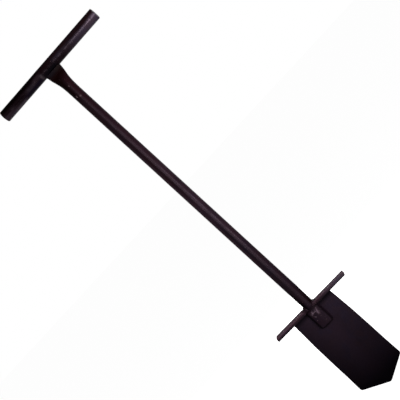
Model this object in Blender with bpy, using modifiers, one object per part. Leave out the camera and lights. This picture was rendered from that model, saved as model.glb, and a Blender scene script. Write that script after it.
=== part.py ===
"""A tree planting spade, welded from steel: a T handle, a tube shaft, two treads and a pointed blade.

Metres, real size. +Z runs up the shaft and +X to the right along the handle. The side with the tang
faces -Y. The origin is on the handle's axis, where the line of the shaft meets it.
"""

from math import atan2, cos, exp, hypot, pi, radians, sin, tan

import bmesh
import bpy
from mathutils import Matrix, Vector

# Clearance between pieces that touch
GAP = 0.0003

# Handle: a straight tube, closed at each end by a disc inside its bore
HANDLE_DIAMETER = 0.0293
HANDLE_WALL = 0.0026
HANDLE_LENGTH = 0.3072
HANDLE_OFFSET = 0.0028
HANDLE_EDGE = 0.0014
CAP_THICKNESS = 0.003
CAP_EDGE = 0.0004

# Shaft: one tube, pressed flat at the neck under the handle and pressed wide at the tang, which laps the
# blade. The round part ends in a dome that stands proud of the tang, like a finger's tip
SHAFT_DIAMETER = 0.0272
SHAFT_WALL = 0.002
NECK_WIDTH = 0.0403
NECK_FLAT_END = -0.024
NECK_FADE_LENGTH = 0.0205
NECK_FADE_POWER = 1.6
NECK_ROUND = -0.088
PRESS_TOP = -0.7845
PRESS_END = -0.7945
DOME_TOP = -0.7865
DOME_LENGTH = 0.0092
TANG_WIDTH = 0.0355
TANG_BACK = 0.0037
TANG_END = -0.849
TANG_CORNER = 0.006
BORE_END = -0.84

# Treads: two pieces of flat bar, each welded to one side of the shaft, at its own slight slant
TREAD_TOP = -0.7868
TREAD_THICKNESS = 0.0085
TREAD_DEPTH = 0.0254
TREAD_FRONT = -0.013
TREAD_REACH = 0.1068
TREAD_INNER = 0.0195
TREAD_EDGE = 0.0008
TREAD_SLANT = {"left": radians(1.3), "right": radians(-1.5)}

# Blade: a flat plate behind the tang, flared a little, its two tip edges ground on the front
BLADE_OFFSET = -0.0019
BLADE_TOP = -0.7963
BLADE_FRONT = 0.004
BLADE_THICKNESS = 0.005
BLADE_SIDES = ((-0.7963, 0.0576), (-0.867, 0.0607), (-0.931, 0.0616), (-0.968, 0.0617))
SHOULDER = (-1.0144, 0.0629)
BLADE_TIP = -1.0476
TOP_RADIUS = 0.002
SHOULDER_RADIUS = 0.005
TIP_RADIUS = 0.01
BLADE_EDGE = 0.0005
GRIND_WIDTH = 0.015
GRIND_LEFT_OVER = 0.0014

# Welds
TREAD_WELD_DEPTH = 0.021
TREAD_WELD_INNER = 0.007
TREAD_WELD_RISE = 0.0055
TREAD_WELD_LIP = 0.0004
NECK_BEAD_TOP = -0.0105
NECK_BEAD_FULL = -0.0148
NECK_BEAD_FOOT = -0.0255
NECK_BEAD_SIDE = 0.0015
NECK_BEAD_FRONT = 0.0046
NECK_BEAD_FADE = 1.2
TANG_BEAD_RADIUS = 0.0022
TANG_BEAD_INSET = 0.0013
BLADE_BEAD_RADIUS = 0.0029
BLADE_BEAD_STAND_OFF = 0.0004
BLADE_BEAD_MIDDLE = 0.0385
BLADE_BEAD_HALF = 0.0165
BACK_WELD_PLACE = (BLADE_OFFSET, 0.0078, -0.7951)
BACK_WELD_RADII = (0.0165, 0.0062, 0.0075)

# Lumps of the weld on the tang's front, as (x, z, radius across), round a small crater
TANG_LUMPS = ((-0.0038, -0.8085, 0.0085), (-0.0092, -0.8043, 0.0048), (0.0036, -0.8112, 0.0046))
TANG_LUMP_HEIGHT = 0.0028
TANG_LUMP_STRETCH = 1.15
CRATER = (-0.0034, -0.8105, 0.003)

# Fineness of the curved surfaces
RING_POINTS = 48
WELD_POINTS = 28
TURN_STEPS = 48
NECK_STEPS = 14
DOME_STEPS = 12
CORNER_STEPS = 5
FILLER_STEPS = 7

HANDLE_RADIUS = HANDLE_DIAMETER / 2
NECK_TOP = -(HANDLE_RADIUS + GAP)
DOME_END = DOME_TOP - DOME_LENGTH
TREAD_BOTTOM = TREAD_TOP - TREAD_THICKNESS
BLADE_BACK = BLADE_FRONT + BLADE_THICKNESS
SIDES = {"left": -1, "right": 1}


def clear_scene():
    for obj in list(bpy.data.objects):
        bpy.data.objects.remove(obj, do_unlink=True)


def new_collection(name):
    collection = bpy.data.collections.new(name)
    bpy.context.scene.collection.children.link(collection)
    return collection


def painted(obj, colour, roughness):
    """Gives an object its own coat of dark paint."""
    material = bpy.data.materials.new(obj.name + "_paint")
    material.use_nodes = True
    shader = material.node_tree.nodes["Principled BSDF"]
    shader.inputs["Base Color"].default_value = (*colour, 1.0)
    shader.inputs["Roughness"].default_value = roughness
    shader.inputs["Metallic"].default_value = 0.0
    obj.data.materials.append(material)
    return obj


def smooth(mesh, degrees=40):
    mesh.shade_smooth()
    mesh.set_sharp_from_angle(angle=radians(degrees))


def object_from(name, collection, build):
    """Makes a mesh object from a function that fills a bmesh."""
    shape = bmesh.new()
    build(shape)
    bmesh.ops.recalc_face_normals(shape, faces=shape.faces)
    mesh = bpy.data.meshes.new(name)
    shape.to_mesh(mesh)
    shape.free()
    smooth(mesh)
    obj = bpy.data.objects.new(name, mesh)
    collection.objects.link(obj)
    return obj


def loft(name, collection, rings):
    """Closed body through a chain of rings with equal counts of points, capped at its first and last ring."""

    def build(shape):
        rows = [[shape.verts.new(point) for point in ring] for ring in rings]
        count = len(rows[0])
        for lower, upper in zip(rows, rows[1:]):
            for i in range(count):
                j = (i + 1) % count
                shape.faces.new((lower[i], lower[j], upper[j], upper[i]))
        shape.faces.new(list(reversed(rows[0])))
        shape.faces.new(rows[-1])

    return object_from(name, collection, build)


def box(name, collection, low, high):
    """Box between two corners, its origin at its middle."""
    low, high = Vector(low), Vector(high)

    def build(shape):
        bmesh.ops.create_cube(shape, size=1.0)
        bmesh.ops.scale(shape, vec=high - low, verts=shape.verts)

    obj = object_from(name, collection, build)
    obj.location = (low + high) / 2
    return obj


def lump(name, collection, centre, radii):
    """Ellipsoid with its poles along X."""

    def build(shape):
        bmesh.ops.create_uvsphere(shape, u_segments=24, v_segments=12, radius=1.0)
        bmesh.ops.rotate(shape, cent=(0, 0, 0), matrix=Matrix.Rotation(pi / 2, 3, "Y"), verts=shape.verts)
        bmesh.ops.scale(shape, vec=radii, verts=shape.verts)

    obj = object_from(name, collection, build)
    obj.location = centre
    return obj


def bead(name, collection, path, radius):
    """Round bar along a path of points, as a mesh that can be cut."""
    curve = bpy.data.curves.new(name, "CURVE")
    curve.dimensions = "3D"
    curve.bevel_depth = radius
    curve.bevel_resolution = 3
    curve.use_fill_caps = True
    spline = curve.splines.new("POLY")
    spline.points.add(len(path) - 1)
    for point, place in zip(spline.points, path):
        point.co = (*place, 1.0)
    return mesh_from_curve(name, collection, curve)


def mesh_from_curve(name, collection, curve):
    """Turns a curve into a mesh object of the same name, with its caps welded on."""
    guide = bpy.data.objects.new(name + "_guide", curve)
    bpy.context.scene.collection.objects.link(guide)
    bpy.context.view_layer.update()
    graph = bpy.context.evaluated_depsgraph_get()
    mesh = bpy.data.meshes.new_from_object(guide.evaluated_get(graph))
    mesh.name = name
    obj = bpy.data.objects.new(name, mesh)
    obj.matrix_world = guide.matrix_world.copy()
    collection.objects.link(obj)
    bpy.data.objects.remove(guide)
    shape = bmesh.new()
    shape.from_mesh(mesh)
    bmesh.ops.remove_doubles(shape, verts=shape.verts, dist=1e-6)
    bmesh.ops.recalc_face_normals(shape, faces=shape.faces)
    shape.to_mesh(mesh)
    shape.free()
    smooth(mesh)
    return obj


def turned(name, collection, profile, closed):
    """Turned piece with its axis along X. The profile's points are (radius, place along the axis)."""
    mesh = bpy.data.meshes.new(name)
    points = [(radius, 0.0, along) for radius, along in profile]
    edges = [(i, i + 1) for i in range(len(points) - 1)]
    if closed:
        edges.append((len(points) - 1, 0))
    mesh.from_pydata(points, edges, [])
    obj = bpy.data.objects.new(name, mesh)
    collection.objects.link(obj)
    screw = obj.modifiers.new("turn", "SCREW")
    screw.axis = "Z"
    screw.angle = 2 * pi
    screw.steps = TURN_STEPS
    screw.render_steps = TURN_STEPS
    screw.use_merge_vertices = True
    screw.merge_threshold = 1e-5
    screw.use_smooth_shade = True
    obj.rotation_euler = (0.0, pi / 2, 0.0)
    return obj


def combine(obj, operation, others):
    """Takes the other objects' space out of an object, or adds it."""
    for other in others:
        other.hide_render = True
        other.display_type = "WIRE"
        modifier = obj.modifiers.new(operation.lower() + " " + other.name, "BOOLEAN")
        modifier.operation = operation
        modifier.solver = "EXACT"
        modifier.object = other


def cut(obj, *cutters):
    combine(obj, "DIFFERENCE", cutters)


def join(obj, *others):
    combine(obj, "UNION", others)


def arc(centre, radius, start, end, steps):
    """Points along an arc, as (x, z) pairs."""
    turns = [start + (end - start) * step / steps for step in range(steps + 1)]
    return [(centre[0] + radius * cos(turn), centre[1] + radius * sin(turn)) for turn in turns]


def rounded_outline(corners):
    """Closed outline through corners given as (x, z, radius), each rounded by an arc of its radius."""
    outline = []
    for i, (x, z, radius) in enumerate(corners):
        if radius == 0:
            outline.append((x, z))
            continue
        corner = Vector((x, z))
        before = (Vector(corners[i - 1][:2]) - corner).normalized()
        after = (Vector(corners[(i + 1) % len(corners)][:2]) - corner).normalized()
        half = before.angle(after) / 2
        centre = corner + (before + after).normalized() * radius / sin(half)
        reach = radius / tan(half)
        start = corner + before * reach - centre
        end = corner + after * reach - centre
        first = atan2(start.y, start.x)
        turn = (atan2(end.y, end.x) - first + pi) % (2 * pi) - pi
        outline += arc(centre, radius, first, first + turn, CORNER_STEPS)
    return outline


def ease(t):
    """Smooth step from 0 to 1."""
    t = min(max(t, 0.0), 1.0)
    return t * t * (3 - 2 * t)


def slot_point(width, depth, fraction):
    """Point at a fraction of the way round a slot: two straight sides and two half-round ends."""
    radius = depth / 2
    straight = width - depth
    round_end = pi * radius
    way = (fraction % 0.5) * 2 * (straight + round_end)
    side = 1 if fraction % 1.0 < 0.5 else -1
    if way < round_end / 2:
        turn = way / radius
        x, y = straight / 2 + radius * cos(turn), radius * sin(turn)
    elif way < round_end / 2 + straight:
        x, y = straight / 2 + round_end / 2 - way, radius
    else:
        turn = (way - straight) / radius
        x, y = radius * cos(turn) - straight / 2, radius * sin(turn)
    return Vector((side * x, side * y))


def slot_ring(width, depth, centre_x, centre_y, z, count=RING_POINTS):
    """Level ring of evenly spaced points round a slot."""
    points = [slot_point(width, depth, i / count) for i in range(count)]
    return [(centre_x + point.x, centre_y + point.y, z) for point in points]


def pressed_depth(width):
    """Depth of the shaft tube where it is pressed to a width: the middle of its wall keeps its girth."""
    girth = pi * (SHAFT_DIAMETER - SHAFT_WALL)
    return (girth - 2 * (width - SHAFT_WALL)) / (pi - 2) + SHAFT_WALL


def shaft_width(z):
    """Outer width of the shaft tube: wide at the neck, round along the shaft, wide again at the tang."""
    if z > PRESS_TOP:
        below_flat = max(NECK_FLAT_END - z, 0.0)
        flare = exp(-((below_flat / NECK_FADE_LENGTH) ** NECK_FADE_POWER))
        return SHAFT_DIAMETER + (NECK_WIDTH - SHAFT_DIAMETER) * flare
    return SHAFT_DIAMETER + (TANG_WIDTH - SHAFT_DIAMETER) * ease((PRESS_TOP - z) / (PRESS_TOP - PRESS_END))


def reach_of_circle(start, direction, radius):
    """How far a ray from a point runs to a circle about the shaft's line, or 0 where it misses."""
    along = start.dot(direction)
    inside = along * along - start.length_squared + radius * radius
    return max(inside**0.5 - along, 0.0) if inside > 0 and radius > 0 else 0.0


def dome_radius(z, grow):
    """Radius of the shaft's round part, which closes in a dome over the tang."""
    into = min(max((DOME_TOP - z) / (DOME_LENGTH + grow), 0.0), 1.0)
    return (SHAFT_DIAMETER / 2 + grow) * (1 - into * into) ** 0.5


def shaft_ring(z, grow, inset=0.0):
    """Ring of the shaft tube at a height, grown on all sides, and inset near the tang's rounded end."""
    width = shaft_width(z)
    depth = pressed_depth(width)
    pressed = ease((PRESS_TOP - z) / (PRESS_TOP - PRESS_END))
    shallower = inset / 2
    centre = Vector((
        pressed * BLADE_OFFSET,
        pressed * (TANG_BACK - pressed_depth(TANG_WIDTH) / 2) + shallower / 2,
    ))
    ring = slot_ring(width - 2 * inset + 2 * grow, depth - shallower + 2 * grow, *centre, z)
    if z > PRESS_TOP:
        return ring
    radius = dome_radius(z, grow)
    domed = []
    for x, y, _ in ring:
        out = Vector((x, y)) - centre
        reach = max(out.length, reach_of_circle(centre, out.normalized(), radius))
        domed.append((*(centre + out.normalized() * reach), z))
    return domed


def between(top, bottom, steps):
    return [top + (bottom - top) * step / steps for step in range(steps + 1)]


def shaft_outside(grow):
    """Rings of the shaft's outer surface from the neck down to the tang's rounded end."""
    heights = [NECK_TOP + grow]
    heights += between(NECK_FLAT_END, NECK_ROUND, NECK_STEPS)
    heights += between(PRESS_TOP, DOME_END, DOME_STEPS)
    rings = [shaft_ring(z, grow) for z in heights]
    for step in range(CORNER_STEPS + 1):
        turn = pi / 2 * step / CORNER_STEPS
        z = TANG_END + TANG_CORNER * (1 - sin(turn)) - grow * step / CORNER_STEPS
        rings.append(shaft_ring(z, grow, TANG_CORNER * (1 - cos(turn))))
    return rings


def shaft_bore():
    """Rings of the shaft's bore, from its closed lower end up to the slit left at the neck."""
    heights = [NECK_TOP]
    heights += between(NECK_FLAT_END, NECK_ROUND, NECK_STEPS)
    heights += between(PRESS_TOP, DOME_END, DOME_STEPS)
    heights.append(BORE_END)
    return [shaft_ring(z, -SHAFT_WALL) for z in reversed(heights)]


def make_handle(parts):
    half = HANDLE_LENGTH / 2
    bore = HANDLE_RADIUS - HANDLE_WALL
    top_edge = arc((HANDLE_RADIUS - HANDLE_EDGE, half - HANDLE_EDGE), HANDLE_EDGE, pi / 2, 0, 3)
    bottom_edge = arc((HANDLE_RADIUS - HANDLE_EDGE, HANDLE_EDGE - half), HANDLE_EDGE, 0, -pi / 2, 3)
    profile = top_edge + bottom_edge + [(bore, -half), (bore, half)]
    tube = turned("handle_tube", parts, profile, closed=True)
    tube.location.x = HANDLE_OFFSET
    painted(tube, (0.016, 0.011, 0.014), 0.42)


def make_cap(parts, side):
    half = CAP_THICKNESS / 2
    rim = HANDLE_RADIUS - HANDLE_WALL - GAP
    profile = [
        (0.0, half),
        (rim - CAP_EDGE, half),
        (rim, half - CAP_EDGE),
        (rim, CAP_EDGE - half),
        (rim - CAP_EDGE, -half),
        (0.0, -half),
    ]
    cap = turned("handle_cap_" + side, parts, profile, closed=False)
    cap.location.x = HANDLE_OFFSET + SIDES[side] * (HANDLE_LENGTH - CAP_THICKNESS) / 2
    painted(cap, (0.018, 0.013, 0.016), 0.45)


def make_shaft(parts):
    shaft = loft("shaft_tube", parts, shaft_bore() + shaft_outside(0.0))
    painted(shaft, (0.017, 0.011, 0.014), 0.4)


def tread_bar(name, collection, side, grow):
    """Flat bar on one side of the shaft, grown on all sides, turned about its front lower edge."""
    ends = sorted((BLADE_OFFSET + SIDES[side] * TREAD_INNER, SIDES[side] * TREAD_REACH))
    low = (ends[0] - grow, -grow, -grow)
    high = (ends[1] + grow, TREAD_DEPTH + grow, TREAD_THICKNESS + grow)
    bar = box(name, collection, low, high)
    hinge = Matrix.Translation((0.0, TREAD_FRONT, TREAD_BOTTOM))
    bar.matrix_world = hinge @ Matrix.Rotation(TREAD_SLANT[side], 4, "X") @ Matrix.Translation(bar.location)
    return bar


def make_tread(parts, side):
    bar = tread_bar("tread_" + side, parts, side, 0.0)
    edge = bar.modifiers.new("worn edges", "BEVEL")
    edge.width = TREAD_EDGE
    edge.segments = 2
    painted(bar, (0.02, 0.014, 0.017), 0.42)


def blade_outline():
    """Blade's corners from its top left round to its top right, as (x, z, radius)."""
    down = [(z, half, TOP_RADIUS if z == BLADE_TOP else 0.0) for z, half in BLADE_SIDES]
    down.append((*SHOULDER, SHOULDER_RADIUS))
    left = [(-half, z, radius) for z, half, radius in down]
    right = [(half, z, radius) for z, half, radius in reversed(down)]
    return left + [(0.0, BLADE_TIP, TIP_RADIUS)] + right


def plate(name, collection, outline, thickness, edge):
    """Flat plate standing in the XZ plane, centred on it, with its edges rounded."""
    curve = bpy.data.curves.new(name, "CURVE")
    curve.dimensions = "2D"
    curve.fill_mode = "BOTH"
    curve.extrude = thickness / 2 - edge
    curve.bevel_depth = edge
    curve.bevel_resolution = 1
    curve.offset = -edge
    spline = curve.splines.new("POLY")
    spline.points.add(len(outline) - 1)
    for point, (x, z) in zip(spline.points, outline):
        point.co = (x, z, 0.0, 1.0)
    spline.use_cyclic_u = True
    obj = mesh_from_curve(name, collection, curve)
    obj.rotation_euler = (pi / 2, 0.0, 0.0)
    return obj


def grind_cutter(helpers, side):
    """Block whose lower face is the ground slope along one of the tip's edges."""
    drop, half = SHOULDER[0] - BLADE_TIP, SHOULDER[1]
    along = atan2(drop, half)
    slope = atan2(BLADE_THICKNESS - GRIND_LEFT_OVER, GRIND_WIDTH)
    length, height = 1.5 * hypot(drop, half), 4 * GRIND_WIDTH
    cutter = box("grind_" + side, helpers, (-length / 2, -height, -height), (length / 2, 0.0, height))
    middle_x = BLADE_OFFSET + SIDES[side] * half / 2
    middle_z = (SHOULDER[0] + BLADE_TIP) / 2
    middle = Matrix.Translation((middle_x, BLADE_BACK - GRIND_LEFT_OVER, middle_z))
    place = middle @ Matrix.Rotation(-SIDES[side] * along, 4, "Y")
    cutter.matrix_world = place @ Matrix.Rotation(slope, 4, "X") @ Matrix.Translation(cutter.location)
    return cutter


def make_blade(parts, helpers):
    blade = plate("blade", parts, rounded_outline(blade_outline()), BLADE_THICKNESS, BLADE_EDGE)
    blade.location = (BLADE_OFFSET, BLADE_FRONT + BLADE_THICKNESS / 2, 0.0)
    cut(blade, *(grind_cutter(helpers, side) for side in SIDES))
    painted(blade, (0.011, 0.008, 0.011), 0.5)


def make_neighbours(helpers):
    """Grown copies of the pieces that the welds lie against."""
    reach = HANDLE_LENGTH / 2
    grown = HANDLE_RADIUS + GAP
    around_handle = [(0.0, reach), (grown, reach), (grown, -reach), (0.0, -reach)]
    neighbours = {
        "handle": turned("around_handle", helpers, around_handle, closed=False),
        "shaft": loft("around_shaft", helpers, shaft_outside(GAP)),
        "blade": box(
            "around_blade",
            helpers,
            (-TREAD_REACH, BLADE_FRONT - GAP, SHOULDER[0]),
            (TREAD_REACH, BLADE_BACK + GAP, BLADE_TOP + GAP),
        ),
    }
    for side in SIDES:
        neighbours["tread_" + side] = tread_bar("around_tread_" + side, helpers, side, GAP)
        neighbours["tread_weld_" + side] = tread_filler("around_tread_weld_" + side, helpers, side, GAP)
    return neighbours


def weld(obj, *neighbours):
    cut(obj, *neighbours)
    return painted(obj, (0.024, 0.018, 0.021), 0.3)


def make_neck_weld(parts, near):
    """Fillet round the flattened neck, widening towards the handle above it."""
    depth = pressed_depth(NECK_WIDTH)
    heights = [NECK_BEAD_TOP] + between(NECK_BEAD_FULL, NECK_BEAD_FOOT, CORNER_STEPS)
    rings = []
    for z in heights:
        down = max(NECK_BEAD_FULL - z, 0.0) / (NECK_BEAD_FULL - NECK_BEAD_FOOT)
        swell = (1 - down) ** NECK_BEAD_FADE
        width = NECK_WIDTH + 2 * NECK_BEAD_SIDE * swell
        rings.append(slot_ring(width, depth + 2 * NECK_BEAD_FRONT * swell, 0.0, 0.0, z, WELD_POINTS))
    weld(loft("neck_weld", parts, rings), near["handle"], near["shaft"])


def tread_filler(name, collection, side, grow):
    """Weld metal from the shaft to the inner end of a tread, rising up the shaft, grown on all sides."""
    low = TREAD_BOTTOM - grow
    inner, outer = TREAD_WELD_INNER - grow, TREAD_INNER - GAP + grow
    rings = []
    for x in between(inner, outer, FILLER_STEPS):
        slack = min((outer - x) / TREAD_WELD_RISE, 1.0)
        high = TREAD_TOP + TREAD_WELD_LIP + TREAD_WELD_RISE * slack * slack + grow
        section = slot_ring(TREAD_WELD_DEPTH + 2 * grow, high - low, 0.0, (high + low) / 2, x, WELD_POINTS)
        rings.append([(BLADE_OFFSET + SIDES[side] * x, y, z) for y, z, _ in section])
    return loft(name, collection, rings)


def make_tread_weld(parts, near, side):
    body = tread_filler("tread_weld_" + side, parts, side, 0.0)
    weld(body, near["shaft"], near["tread_" + side])


def make_tang_weld(parts, near):
    """Bead in the groove between the tang's rounded sides and the blade, down one side and up the other."""
    reach = TANG_WIDTH / 2 - TANG_BEAD_INSET
    low = TANG_END + TANG_BEAD_INSET
    corner = TANG_CORNER
    outline = [(-reach, TREAD_BOTTOM - GAP)]
    outline += arc((corner - reach, low + corner), corner, pi, 3 * pi / 2, CORNER_STEPS)
    outline += arc((reach - corner, low + corner), corner, -pi / 2, 0, CORNER_STEPS)
    outline.append((reach, TREAD_BOTTOM - GAP))
    path = [(x + BLADE_OFFSET, BLADE_FRONT - TANG_BEAD_INSET, z) for x, z in outline]
    treads = [near["tread_" + side] for side in SIDES]
    weld(bead("tang_weld", parts, path, TANG_BEAD_RADIUS), near["shaft"], near["blade"], *treads)


def make_tang_top_weld(parts, helpers, near):
    """Lumps of weld run together on the front of the tang, just below the treads."""
    front = TANG_BACK - pressed_depth(TANG_WIDTH)
    lumps = []
    for i, (x, z, radius) in enumerate(TANG_LUMPS):
        name, collection = ("tang_top_weld", parts) if i == 0 else (f"tang_lump_{i}", helpers)
        radii = (radius, TANG_LUMP_HEIGHT, TANG_LUMP_STRETCH * radius)
        lumps.append(lump(name, collection, (x, front, z), radii))
    x, z, radius = CRATER
    crater = lump("weld_crater", helpers, (x, front - TANG_LUMP_HEIGHT, z), (radius, radius / 2, radius))
    join(lumps[0], *lumps[1:])
    weld(lumps[0], near["shaft"], crater)


def make_back_weld(parts, near):
    """Lump behind the shaft, on the blade's top edge between the treads."""
    body = lump("shaft_back_weld", parts, BACK_WELD_PLACE, BACK_WELD_RADII)
    sides = [near[piece + side] for piece in ("tread_", "tread_weld_") for side in SIDES]
    weld(body, *sides, near["blade"], near["shaft"])


def make_blade_weld(parts, near, side, face, y):
    """Bead along the corner between a tread's underside and one face of the blade, tapering at its ends."""
    middle = (BLADE_OFFSET + SIDES[side] * BLADE_BEAD_MIDDLE, y, BLADE_TOP + GAP)
    radii = (BLADE_BEAD_HALF, BLADE_BEAD_RADIUS, BLADE_BEAD_RADIUS)
    body = lump("blade_weld_" + face + "_" + side, parts, middle, radii)
    weld(body, near["blade"], near["tread_" + side])


def main():
    clear_scene()
    parts = new_collection("tree_planting_spade")
    helpers = new_collection("cutters")
    helpers.hide_render = True
    make_handle(parts)
    make_shaft(parts)
    make_blade(parts, helpers)
    near = make_neighbours(helpers)
    make_neck_weld(parts, near)
    make_tang_weld(parts, near)
    make_tang_top_weld(parts, helpers, near)
    make_back_weld(parts, near)
    for side in SIDES:
        make_cap(parts, side)
        make_tread(parts, side)
        make_tread_weld(parts, near, side)
        make_blade_weld(parts, near, side, "front", BLADE_FRONT - BLADE_BEAD_STAND_OFF)
        make_blade_weld(parts, near, side, "back", BLADE_BACK + BLADE_BEAD_STAND_OFF)


main()
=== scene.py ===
"""Looks of the tree planting spade: finer tubes and welds over the CAD frame, worn black paint and light.

Everything is in metres in the row's frame: +Z runs up the shaft, +X right along the handle, and the side
with the tang faces -Y.
"""

from math import cos, exp, pi, radians, sin

import bmesh
import bpy
from mathutils import Matrix, Vector, noise


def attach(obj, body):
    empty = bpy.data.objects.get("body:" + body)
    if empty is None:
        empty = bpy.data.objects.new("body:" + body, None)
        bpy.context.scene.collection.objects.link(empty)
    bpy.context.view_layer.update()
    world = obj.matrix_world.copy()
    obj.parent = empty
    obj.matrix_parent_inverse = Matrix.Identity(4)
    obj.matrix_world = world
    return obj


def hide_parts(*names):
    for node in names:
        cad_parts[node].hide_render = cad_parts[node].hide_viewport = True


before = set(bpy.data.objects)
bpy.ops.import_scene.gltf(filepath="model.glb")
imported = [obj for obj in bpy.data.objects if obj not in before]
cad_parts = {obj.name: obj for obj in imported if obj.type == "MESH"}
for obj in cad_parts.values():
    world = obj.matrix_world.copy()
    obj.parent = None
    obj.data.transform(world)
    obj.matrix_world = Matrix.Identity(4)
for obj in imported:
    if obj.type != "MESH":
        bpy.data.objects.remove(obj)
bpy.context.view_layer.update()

# Dimensions, as the part's source has them
GAP = 0.0003
HANDLE_RADIUS = 0.01465
HANDLE_WALL = 0.0026
HANDLE_LENGTH = 0.3072
HANDLE_OFFSET = 0.0028
HANDLE_EDGE = 0.0014
SHAFT_DIAMETER = 0.0272
SHAFT_WALL = 0.002
NECK_TOP = -0.01495
NECK_WIDTH = 0.0403
NECK_FLAT_END = -0.024
NECK_FADE_LENGTH = 0.0205
NECK_FADE_POWER = 1.6
NECK_ROUND = -0.088
PRESS_TOP = -0.7845
PRESS_END = -0.7945
DOME_TOP = -0.7865
DOME_LENGTH = 0.0092
TANG_WIDTH = 0.0355
TANG_BACK = 0.0037
TANG_END = -0.849
TANG_CORNER = 0.006
BORE_END = -0.84
TREAD_TOP = -0.7868
TREAD_BOTTOM = -0.7953
TREAD_INNER = 0.0195
BLADE_OFFSET = -0.0019
BLADE_TOP = -0.7963
BLADE_FRONT = 0.004
BLADE_BACK = 0.009
SIDES = {"left": -1, "right": 1}

# Tubes: the crown that a press leaves, and how far the walls are out of true
PRESS_CROWN = 0.3
CROWN_ONSET = 4.0
NECK_RIM = 0.001
SHAFT_UNEVENNESS = 0.00012
HANDLE_UNEVENNESS = 0.0001
WAVE_LENGTH = 0.012
WAVE_STRETCH = 2.5
WAVE_SHARE = 0.7
FINE_WAVE_LENGTH = 0.004
FINE_WAVE_SHARE = 0.3
TUBE_POINTS = 96
CORNER_STEPS = 10
HANDLE_EDGE_STEPS = 6
HANDLE_STEPS = 120
SMOOTH_ANGLE = radians(50)

# Weld surfaces: height and pitch of the ripples, height and length of the softer lumps under them
NECK_RIPPLES = {"ripple": 0.00035, "pitch": 0.0034, "lumps": 0.0004, "wavelength": 0.006, "level": 0.6}
TREAD_RIPPLES = {"ripple": 0.0004, "pitch": 0.0031, "lumps": 0.0005, "wavelength": 0.004, "level": 0.6}
BACK_RIPPLES = {"ripple": 0.0004, "pitch": 0.0036, "lumps": 0.0002, "wavelength": 0.004, "level": 1.0}
BLADE_RIPPLES = {"ripple": 0.00035, "pitch": 0.0028, "lumps": 0.000175, "wavelength": 0.003, "level": 1.0}

# Neck weld: its ripples lean by the slant, and stand out mostly to the front and the back
NECK_BEAD_TOP = -0.0105
NECK_BEAD_FULL = -0.0148
NECK_BEAD_FOOT = -0.0255
NECK_BEAD_SIDE = 0.0015
NECK_BEAD_FRONT = 0.0046
NECK_BEAD_FADE = 1.2
NECK_BEAD_SLANT = 0.35
NECK_BEAD_FORWARD = 3.0
NECK_BEAD_POINTS = 160
NECK_BEAD_STEPS = 28

# Tread welds: the top falls from the rise to the lip over the run before the shoulder
TREAD_WELD_DEPTH = 0.021
TREAD_WELD_INNER = 0.007
TREAD_WELD_LAP = 0.0006
TREAD_WELD_DROP = 0.0002
TREAD_WELD_SHOULDER = 0.0196
TREAD_WELD_RUN = 0.0060
TREAD_WELD_RISE = 0.0036
TREAD_WELD_LIP = 0.0009
TREAD_WELD_CREST = 0.016
TREAD_WELD_SLANT = 0.4
TREAD_WELD_POINTS = 72
TREAD_WELD_STEPS = 24

# Bead round the tang: its path, then the size and the ripples as shares of its radius
TANG_BEAD_RADIUS = 0.0022
TANG_BEAD_INSET = 0.0013
TANG_BEAD_REACH = TANG_WIDTH / 2 - TANG_BEAD_INSET
TANG_BEAD_LOW = TANG_END + TANG_BEAD_INSET
TANG_BEAD_TOP_GAP = 0.001
TANG_BEAD_TOP = TREAD_BOTTOM - TANG_BEAD_TOP_GAP
TANG_BEAD_SIDE = TANG_BEAD_TOP - TANG_BEAD_LOW - TANG_CORNER
TANG_BEAD_BEND = pi / 2 * TANG_CORNER
TANG_BEAD_FOOT = 2 * (TANG_BEAD_REACH - TANG_CORNER)
TANG_BEAD_LENGTH = 2 * TANG_BEAD_SIDE + 2 * TANG_BEAD_BEND + TANG_BEAD_FOOT
TANG_BEAD_TAPER = 0.004
TANG_BEAD_START = 0.35
TANG_BEAD_BODY = 0.9
TANG_BEAD_RIPPLE = 0.14
TANG_BEAD_PITCH = 0.0026
TANG_BEAD_LAG = 0.0007
# Its soft lumps: their height, their length, and the turn round the bead that counts as a metre
TANG_BEAD_LUMPS = 0.08
TANG_BEAD_LUMP_LENGTH = 0.006
TANG_BEAD_LUMP_TURN = 90.0
TANG_BEAD_POINTS = 20
TANG_BEAD_STEPS = 320

# Lumps on the tang's front: (x, z, spread across, spread up, height), in millimetres
TANG_LUMPS = (
    (-11.6, -807.2, 1.9, 2.0, 1.5),
    (-8.8, -804.4, 1.9, 2.0, 1.9),
    (-6.6, -801.4, 1.6, 1.6, 1.5),
    (-2.9, -804.4, 1.3, 1.2, 2.0),
    (7.2, -799.6, 1.7, 2.2, 2.2),
    (5.0, -804.8, 1.9, 2.6, 2.2),
    (3.6, -811.4, 2.1, 3.3, 2.6),
    (-6.2, -806.8, 1.9, 1.3, 1.2),
    (0.2, -806.6, 1.7, 1.3, 1.1),
    (-8.8, -815.2, 1.9, 2.3, 0.9),
    (-2.5, -808.0, 7.0, 6.5, 0.8),
    (-3.7, -801.3, 1.3, 1.1, -1.3),
    (-4.6, -811.2, 2.5, 2.6, -2.2),
)
# Grain of the lumps: (height in millimetres, wavelength, layer of the noise)
TANG_GRAIN = ((0.28, 0.0026, 0.0), (0.12, 0.0011, 5.0))
MILLIMETRE = 0.001
# Patch that carries the lumps: its edges, and how it fades into the tang towards them
PATCH_LEFT = -0.0165
PATCH_RIGHT = 0.0125
PATCH_LOW = -0.8205
PATCH_HIGH = -0.7962
PATCH_LEVEL = 0.42
PATCH_FALL = 1.2
PATCH_FADE = 0.003
PATCH_LOWEST = -0.0008
PATCH_UNDERSIDE = -0.0011
PATCH_COLUMNS = 72
PATCH_ROWS = 60

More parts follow.
